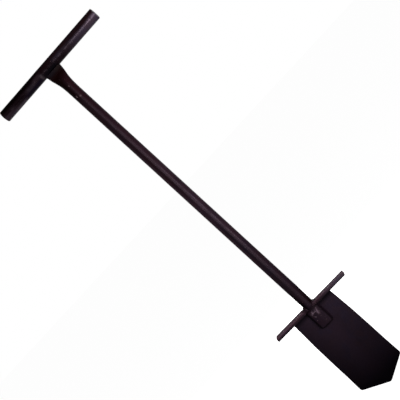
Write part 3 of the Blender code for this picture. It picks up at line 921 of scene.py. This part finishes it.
def handle_paint():
    """The grip: nearly black, painted lighter towards the right end and below as painted light, with a
    painted highlight band at the right end, painted sheen patches, and painted shade on top and over the
    neck.
    """
    # Painted light: the top of the right half is painted lighter towards the right end.
    upper_right_light = (("X", -0.04, 0.03), ("Z", 0.0, 0.006))
    # Painted shade: the top of the left half is painted nearly black, as no light falls on it from above.
    upper_left_shade = (("X", -0.03, -0.07), ("Z", 0.001, 0.007))
    # Painted shade: a dark bluish band below the middle of the left half.
    below_left_shade = (("X", -0.095, -0.075), ("X", -0.020, -0.030), ("Z", -0.005, -0.0075))
    # Painted reflection: the lower part of the left end is painted lighter, as if lit from the floor below.
    far_left_reflection = (("X", -0.100, -0.15), ("Z", -0.002, -0.006))
    # Painted reflection: the underside of the left half is painted lighter, as if lit from the floor below.
    underside_left_light = (("X", -0.078, -0.090), ("X", -0.145, -0.110), ("Z", -0.0085, -0.0125))
    # Painted light: the lower right is painted lighter towards the right end.
    lower_right_light = (("X", 0.040, 0.135), ("Z", 0.003, -0.002))
    # Painted highlight: a light band along the middle of the right end.
    right_end_highlight = (("X", 0.126, 0.150), ("Z", 0.0052, -0.0005), ("Z", -0.0060, -0.0020))
    # Painted sheen: lighter patches along the middle band, left of the neck and on either side of it.
    patch_left = (("X", -0.080, -0.068), ("X", -0.040, -0.050), ("Z", 0.003, -0.002), ("Z", -0.0085, -0.005))
    neck_left_sheen = (("X", -0.052, -0.042), ("X", -0.020, -0.028), ("Z", 0.008, 0.003), ("Z", -0.0065, -0.0025))
    neck_right_sheen = (("X", 0.010, 0.022), ("X", 0.080, 0.055), ("Z", 0.006, 0.002), ("Z", -0.0060, -0.001))
    weld_run = (("X", -0.030, -0.026), ("X", -0.0198, -0.0238), ("Z", 0.001, -0.003), ("Z", -0.0145, -0.011))
    # Painted shade: the underside over the neck is painted nearly black.
    over_neck_shade = (("X", -0.026, -0.014), ("X", 0.026, 0.014), ("Z", -0.0035, -0.0065))
    return paint(
        "handle_paint",
        dark=(0.0022, 0.0006, 0.0011),
        light=(0.0052, 0.0018, 0.0029),
        worn=(0.040, 0.028, 0.038),
        roughness=0.19,
        specular=0.125,
        bump=0.13,
        fades=(
            ((0.0100, 0.0038, 0.0052), *upper_right_light),
            ((0.0012, 0.0002, 0.0003), *upper_left_shade),
            ((0.0024, 0.0010, 0.0042), *below_left_shade),
            ((0.019, 0.0115, 0.0165), *far_left_reflection),
            ((0.034, 0.025, 0.034), *underside_left_light),
            ((0.034, 0.023, 0.036), *lower_right_light),
            ((0.062, 0.046, 0.070), *right_end_highlight),
            ((0.0120, 0.0080, 0.0110), *patch_left),
            ((0.0130, 0.0076, 0.0104), *neck_left_sheen),
            ((0.0120, 0.0080, 0.0125), *neck_right_sheen),
            ((0.028, 0.022, 0.026), *weld_run),
            ((0.0003, 0.0001, 0.0008), *over_neck_shade),
        ),
        polish=(-0.02, ("X", 0.06, 0.13)),
    )


def cap_paint():
    """The closed ends of the handle: plain satin black."""
    return paint(
        "cap_paint",
        dark=(0.006, 0.0035, 0.0048),
        light=(0.014, 0.008, 0.0115),
        worn=(0.040, 0.028, 0.033),
        roughness=0.5,
        specular=0.08,
        bump=0.4,
    )


def shaft_paint():
    """The shaft: painted shade makes it brown-black at the neck and darker again down to the treads, greyer
    between; it carries painted light on its left side and painted shade at its joints.
    """
    # Painted shade: the shaft's flanks darker over the last stretch above the treads.
    above_treads_shade = (("Z", -0.72, -0.775), ("Z", -0.7965, -0.7935))
    # Painted shade: a darker stripe down the front, which tones down the highlight from the front lamps.
    front_stripe_shade = (("X", -0.010, -0.005), ("X", 0.004, -0.001))
    # Painted light: the left side is painted lighter along the middle of the shaft.
    left_side = (("X", -0.0050, -0.0095), ("Z", -0.22, -0.32), ("Z", -0.725, -0.600))
    return paint(
        "shaft_paint",
        dark=(0.0166, 0.0076, 0.0123),
        light=(0.0238, 0.0113, 0.0176),
        worn=(0.055, 0.036, 0.047),
        roughness=0.34,
        specular=0.050,
        bump=0.25,
        fades=(
            # Painted shade: darker towards the bottom, where the key light's highlight falls off.
            ((0.0092, 0.0046, 0.0082), ("Z", -0.45, -0.80)),
            ((0.0020, 0.0008, 0.0018), ("X", -0.002, -0.0065), *above_treads_shade),
            ((0.0045, 0.0013, 0.0020), ("X", 0.004, 0.009), *above_treads_shade),
            # Painted shade: darker and browner towards the top, where the light falls off.
            ((0.0122, 0.0034, 0.0052), ("Z", -0.34, -0.08)),
            ((0.0095, 0.0042, 0.0062), *front_stripe_shade, ("Z", -0.52, -0.38)),
            ((0.0085, 0.0050, 0.0080), *front_stripe_shade, ("Z", -0.46, -0.54), ("Z", -0.770, -0.735)),
            # Painted light on the left side.
            ((0.0270, 0.0128, 0.0198), *left_side),
            # Painted shade: the left of the neck is painted darker, as its pressed face turns from the light.
            ((0.0030, 0.0004, 0.0006), ("X", 0.004, -0.006), ("Z", -0.115, -0.085)),
            # Painted shade: nearly black just under the neck weld.
            ((0.0042, 0.0009, 0.0009), ("Z", -0.049, -0.027)),
            # Painted shadow: a dark band across the tang under the treads.
            ((0.0040, 0.0016, 0.0026), ("Z", -0.7925, -0.7950), ("Z", -0.7990, -0.7968)),
        ),
        # Painted shade round the tang.
        shade_line=tang_shade_line,
    )


def tread_paint():
    """The treads: the pale tone is a painted sheen on the tops, with the front face painted darker and
    painted shade along its lower edge.
    """
    # Painted shade: the front face darker than the pale tops.
    front_face = (("Y", -0.0110, -0.0128), ("Z", TREAD_TOP + 0.003, TREAD_TOP - 0.0035))
    lower_edge_shade = (("Y", -0.0100, -0.0120), ("Z", TREAD_TOP - 0.0050, TREAD_TOP - 0.0074))
    return paint(
        "tread_paint",
        # Painted sheen: the tops are painted pale for the bright reflection they catch.
        dark=(0.076, 0.038, 0.057),
        light=(0.104, 0.054, 0.080),
        worn=(0.14, 0.088, 0.115),
        roughness=0.6,
        specular=0.015,
        bump=0.4,
        fades=(
            # Painted sheen, paler still towards both ends.
            ((0.145, 0.098, 0.133), ("X", 0.02, 0.09)),
            ((0.116, 0.060, 0.086), ("X", -0.03, -0.085)),
            ((0.015, 0.0082, 0.0125), *front_face),
            # Painted light: the front face lighter towards the right, where the light falls.
            ((0.038, 0.026, 0.036), ("X", 0.035, 0.085), *front_face),
            # Painted shade along the front face's lower edge.
            ((0.0070, 0.0040, 0.0062), *lower_edge_shade),
            # Painted sheen: the top face paler still.
            ((0.115, 0.064, 0.088), ("Z", TREAD_TOP - 0.0004, TREAD_TOP + 0.0001)),
            # The back face painted dark again, without the painted sheen.
            ((0.022, 0.012, 0.018), ("Y", 0.0085, 0.0110)),
        ),
    )


def blade_paint():
    """The blade: satin black, a little lighter in the middle, with painted shade on its left side, painted
    shade that makes it darkest at the tip, and a painted shadow under the treads.
    """
    return paint(
        "blade_paint",
        dark=(0.0120, 0.0071, 0.0117),
        light=(0.0152, 0.0092, 0.0150),
        worn=(0.024, 0.015, 0.022),
        roughness=0.6,
        specular=0.012,
        bump=0.35,
        fades=(
            ((0.0155, 0.0089, 0.0146), ("X", -0.020, -0.008), ("X", 0.018, 0.006), ("Z", -0.850, -0.870)),
            # Painted shade on the left side, away from the light.
            ((0.0075, 0.0044, 0.0068), ("X", -0.024, -0.066)),
            # Painted shade: darkest at the tip, for the dark reflection there.
            ((0.0008, 0.0005, 0.0010), ("Z", -0.825, -1.022)),
            # Painted shadow under the treads.
            ((0.0034, 0.0024, 0.0038), ("Z", -0.8115, -0.8015)),
        ),
        # Painted shade round the tang.
        shade_line=tang_shade_line,
    )


def weld_paint():
    """The tread welds and the weld behind the shaft: glossy over the ripples, pale at the outer ends."""
    return paint(
        "weld_paint",
        dark=(0.012, 0.0054, 0.0084),
        light=(0.026, 0.0140, 0.0205),
        worn=(0.080, 0.056, 0.066),
        roughness=0.4,
        specular=0.04,
        bump=0.55,
        fades=(
            ((0.0085, 0.0040, 0.0064), ("X", -0.008, -0.014)),
            ((0.026, 0.013, 0.020), ("X", -0.0160, -0.0195)),
            ((0.042, 0.022, 0.032), ("X", 0.0130, 0.0165)),
        ),
        grain=0.8,
    )


def drop_paint():
    """Drops of spatter: lighter than the tubes round them."""
    return paint(
        "drop_paint",
        dark=(0.040, 0.023, 0.026),
        light=(0.075, 0.046, 0.050),
        worn=(0.10, 0.070, 0.075),
        roughness=0.35,
        specular=0.1,
        bump=0.4,
    )


def lump_paint():
    """The weld on the tang's front: pale on its crests, a painted highlight where they stand out."""
    return paint(
        "lump_paint",
        dark=(0.012, 0.006, 0.009),
        light=(0.022, 0.012, 0.017),
        worn=(0.10, 0.072, 0.083),
        roughness=0.3,
        specular=0.12,
        bump=0.5,
        # Painted highlight: paler where the weld stands out from the tang.
        fades=(((0.082, 0.054, 0.073), ("Y", TANG_FRONT - 0.0004, TANG_FRONT - 0.0026)),),
        grain=0.8,
    )


def seam_paint():
    """The thin beads on the blade: dull and painted dark as shade along the tang and under the treads,
    lighter on the right where the light falls.
    """
    return paint(
        "seam_paint",
        dark=(0.0028, 0.0010, 0.0024),
        light=(0.0070, 0.0030, 0.0062),
        worn=(0.014, 0.009, 0.012),
        roughness=0.5,
        specular=0.02,
        bump=0.5,
        # Painted light: less dark on the right.
        fades=(((0.0098, 0.0044, 0.0088), ("X", 0.0, 0.010)),),
        grain=0.8,
    )


def neck_paint():
    """The neck weld: dull, painted lighter on the right where the light falls, browner towards its foot."""
    return paint(
        "neck_paint",
        dark=(0.0030, 0.0022, 0.0034),
        light=(0.0062, 0.0044, 0.0060),
        worn=(0.012, 0.009, 0.012),
        roughness=0.6,
        specular=0.03,
        bump=0.5,
        fades=(
            # Painted light: lighter towards the right.
            ((0.0090, 0.0058, 0.0058), ("X", -0.002, 0.008)),
            ((0.0034, 0.0003, 0.0001), ("Z", -0.0165, -0.024)),
        ),
        grain=0.8,
    )


# Pieces


def dress_node(name, material):
    """Puts a paint on a CAD node that is shown as it is."""
    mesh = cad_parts[name].data
    mesh.materials.clear()
    mesh.materials.append(material)


def add_for(node, build, material):
    """Adds a finer piece for one CAD node, under a name of its own."""
    add_piece(node + "_fine", build, material, (node,))


def add_blade_weld(face, y, side, material):
    """Bead under a tread, on one face of the blade."""
    middle = (BLADE_OFFSET + SIDES[side] * BLADE_BEAD_MIDDLE, y, BLADE_TOP + GAP)
    radii = (BLADE_BEAD_HALF, BLADE_BEAD_RADIUS, BLADE_BEAD_RADIUS)
    add_for("blade_weld_" + face + "_" + side, build_lump(middle, radii, BLADE_RIPPLES), material)


def add_pieces():
    """Dresses the plain nodes and adds the finer tubes, welds and spatter."""
    caps, treads = cap_paint(), tread_paint()
    welds, seams = weld_paint(), seam_paint()
    dress_node("blade", blade_paint())
    for side in SIDES:
        dress_node("handle_cap_" + side, caps)
        dress_node("tread_" + side, treads)
    add_for("handle_tube", build_handle, handle_paint())
    add_for("shaft_tube", build_shaft, shaft_paint())
    add_for("neck_weld", build_neck_weld, neck_paint())
    add_for("tang_weld", build_tang_weld, seams)
    add_for("tang_top_weld", build_tang_top_weld, lump_paint())
    add_for("shaft_back_weld", build_lump(BACK_WELD_PLACE, BACK_WELD_RADII, BACK_RIPPLES), welds)
    for side in SIDES:
        add_for("tread_weld_" + side, build_tread_weld(side), welds)
        add_blade_weld("front", BLADE_FRONT - BLADE_BEAD_STAND_OFF, side, seams)
        add_blade_weld("back", BLADE_BACK + BLADE_BEAD_STAND_OFF, side, seams)
    add_piece("weld_spatter", build_drops, drop_paint())


# Stage: a pale floor that keeps the object's shadow, and a white surround

FLOOR_HEIGHT = -1.22
FLOOR_SIZE = 60.0
FLOOR_TONE = 0.35
FLOOR_GLOW = 0.95
# Where the floor grows white for gloss, in metres behind the object
FLOOR_BRIGHTENS = (1.0, 6.0)
# The surround: its light on the object, and the directions in which it grows white or dim for gloss
WORLD_LIGHT = 0.26
WORLD_BRIGHTENS = (0.0, 0.7)
CEILING_DIMS = (0.2, 0.8)
STUDIO_FRONT = 0.05
STUDIO_CEILING = 0.15


def seen_directly(tree, gloss):
    """1 for rays from the camera or through clear parts, the gloss value for glossy rays, otherwise 0."""
    path = add_node(tree, "ShaderNodeLightPath")
    plain = maths(tree, "MAXIMUM", path.outputs["Is Camera Ray"], path.outputs["Is Transmission Ray"])
    return maths(tree, "MAXIMUM", plain, maths(tree, "MULTIPLY", path.outputs["Is Glossy Ray"], gloss))


def floor_paint():
    """Pale floor that is white to the camera and, for gloss, white only behind the object."""
    material = bpy.data.materials.new("pale_floor")
    material.use_nodes = True
    tree = material.node_tree
    tree.nodes.remove(tree.nodes["Principled BSDF"])
    diffuse = add_node(tree, "ShaderNodeBsdfDiffuse", {"Color": (FLOOR_TONE, FLOOR_TONE, FLOOR_TONE, 1.0)})
    place = add_node(tree, "ShaderNodeSeparateXYZ")
    tree.links.new(add_node(tree, "ShaderNodeTexCoord").outputs["Object"], place.inputs[0])
    behind = ranged(tree, place.outputs["Y"], *FLOOR_BRIGHTENS, STUDIO_FRONT, 1.0)
    glow = add_node(tree, "ShaderNodeEmission")
    tree.links.new(scaled(tree, seen_directly(tree, behind), FLOOR_GLOW), glow.inputs["Strength"])
    both = add_node(tree, "ShaderNodeAddShader")
    tree.links.new(diffuse.outputs[0], both.inputs[0])
    tree.links.new(glow.outputs[0], both.inputs[1])
    tree.links.new(both.outputs[0], tree.nodes["Material Output"].inputs["Surface"])
    return material


def make_floor():
    """Large square floor under the object."""
    mesh = bpy.data.meshes.new("floor")
    half = FLOOR_SIZE / 2
    corners = [(-half, -half), (half, -half), (half, half), (-half, half)]
    mesh.from_pydata([(x, y, FLOOR_HEIGHT) for x, y in corners], [], [(0, 1, 2, 3)])
    floor = bpy.data.objects.new("floor", mesh)
    bpy.context.scene.collection.objects.link(floor)
    mesh.materials.append(floor_paint())


def make_world():
    """White surround to the camera. For gloss it is white behind the object and dim in front and above.

    Its light on the object is plain and even, and weaker from the ceiling.
    """
    world = bpy.data.worlds.new("studio")
    world.use_nodes = True
    tree = world.node_tree
    background = tree.nodes["Background"]
    background.inputs["Color"].default_value = (1.0, 1.0, 1.0, 1.0)
    direction = add_node(tree, "ShaderNodeSeparateXYZ")
    tree.links.new(add_node(tree, "ShaderNodeTexCoord").outputs["Generated"], direction.inputs[0])
    behind = ranged(tree, direction.outputs["Y"], *WORLD_BRIGHTENS, STUDIO_FRONT, 1.0)
    ceiling = ranged(tree, direction.outputs["Z"], *CEILING_DIMS, 1.0, STUDIO_CEILING)
    seen = seen_directly(tree, maths(tree, "MULTIPLY", behind, ceiling))
    lit = scaled(tree, ceiling, WORLD_LIGHT)
    tree.links.new(maths(tree, "MAXIMUM", seen, lit), background.inputs["Strength"])
    bpy.context.scene.world = world


def make_softbox(name, place, target, width, height, energy, gloss=True):
    """Rectangular soft lamp that faces a target, seen in gloss or not."""
    light = bpy.data.lights.new(name, "AREA")
    light.shape = "RECTANGLE"
    light.size = width
    light.size_y = height
    light.energy = energy
    lamp = bpy.data.objects.new(name, light)
    bpy.context.scene.collection.objects.link(lamp)
    lamp.visible_glossy = gloss
    lamp.location = place
    lamp.rotation_euler = (Vector(place) - Vector(target)).to_track_quat("Z", "Y").to_euler()


def make_lamps():
    """Three softboxes at the camera's side, and one behind that lights the back without a rim."""
    make_softbox(
        "key_softbox",
        place=(1.30, -2.00, -0.63),
        target=(0.0, 0.0, -0.45),
        width=1.0,
        height=0.55,
        energy=32.5,
    )
    make_softbox(
        "top_softbox",
        place=(0.56, -2.25, 0.02),
        target=(0.1, 0.0, 0.0),
        width=1.25,
        height=1.4,
        energy=18.0,
    )
    make_softbox(
        "strip_softbox",
        place=(0.08, -2.30, -0.55),
        target=(0.1, 0.0, -0.1),
        width=0.45,
        height=1.0,
        energy=17.5,
    )
    make_softbox(
        "back_softbox",
        place=(-0.36, 2.40, -0.40),
        target=(0.0, 0.0, -0.50),
        width=1.0,
        height=0.8,
        energy=55.0,
        gloss=False,
    )


def make_camera():
    """Camera at the photo's viewing angle, rolled so that the shaft runs across the picture's diagonal."""
    forward = Vector((
        -sin(CAMERA_YAW) * cos(CAMERA_PITCH),
        cos(CAMERA_YAW) * cos(CAMERA_PITCH),
        -sin(CAMERA_PITCH),
    ))
    right = Vector((cos(CAMERA_YAW), sin(CAMERA_YAW), 0.0))
    up = right.cross(forward)
    cos_roll, sin_roll = CAMERA_ROLL
    across = cos_roll * right - sin_roll * up
    upward = sin_roll * right + cos_roll * up
    data = bpy.data.cameras.new("camera")
    data.sensor_width = CAMERA_SENSOR
    data.lens = CAMERA_LENS
    data.clip_start = CAMERA_NEAR
    data.clip_end = CAMERA_FAR
    camera = bpy.data.objects.new("camera", data)
    bpy.context.scene.collection.objects.link(camera)
    turn = Matrix((across, upward, -forward)).transposed().to_4x4()
    camera.matrix_world = Matrix.Translation(CAMERA_PLACE) @ turn
    bpy.context.scene.camera = camera


add_pieces()
make_floor()
make_world()
make_lamps()
make_camera()
bpy.context.scene.view_settings.view_transform = "Standard"
